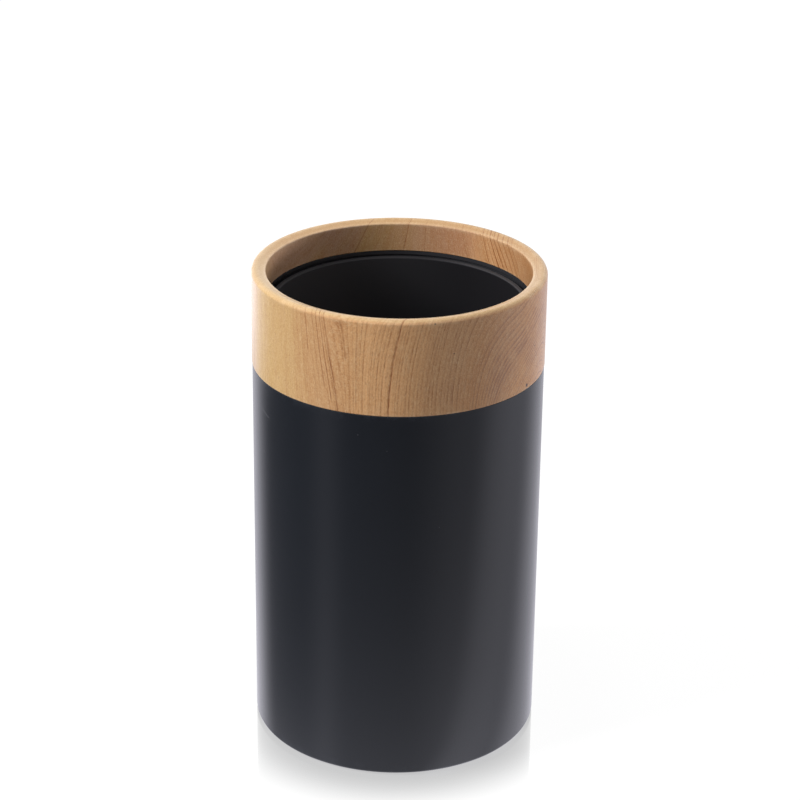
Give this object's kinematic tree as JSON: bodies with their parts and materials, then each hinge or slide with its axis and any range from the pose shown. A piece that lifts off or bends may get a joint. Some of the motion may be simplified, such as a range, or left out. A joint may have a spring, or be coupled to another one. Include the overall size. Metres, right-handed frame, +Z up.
{
  "type": "bathroom tumbler",
  "caption": "Round black double-wall bathroom tumbler with a turned wooden collar round its mouth, on soft foot pads.",
  "frame": {"origin": "centre of the face that the tumbler stands on, under the middle of its four foot pads", "axes": "+Z up along the cup's axis, out of its mouth; the foot pads lie on the diagonals of X and Y"},
  "size_m": [0.075, 0.075, 0.127],
  "materials": {
    "sleeve_plastic": "satin",
    "collar_wood": "satin",
    "cup_plastic": "satin",
    "cover_plastic": "matte",
    "seal_silicone": "matte",
    "pad_rubber": "matte"
  },
  "bodies": {
    "root": {"outer_sleeve": "sleeve_plastic", "wood_collar": "collar_wood", "inner_cup": "cup_plastic", "neck_seal": "seal_silicone", "base_cover": "cover_plastic", "foot_pad_1": "pad_rubber", "foot_pad_2": "pad_rubber", "foot_pad_3": "pad_rubber", "foot_pad_4": "pad_rubber"}
  },
  "joints": []
}
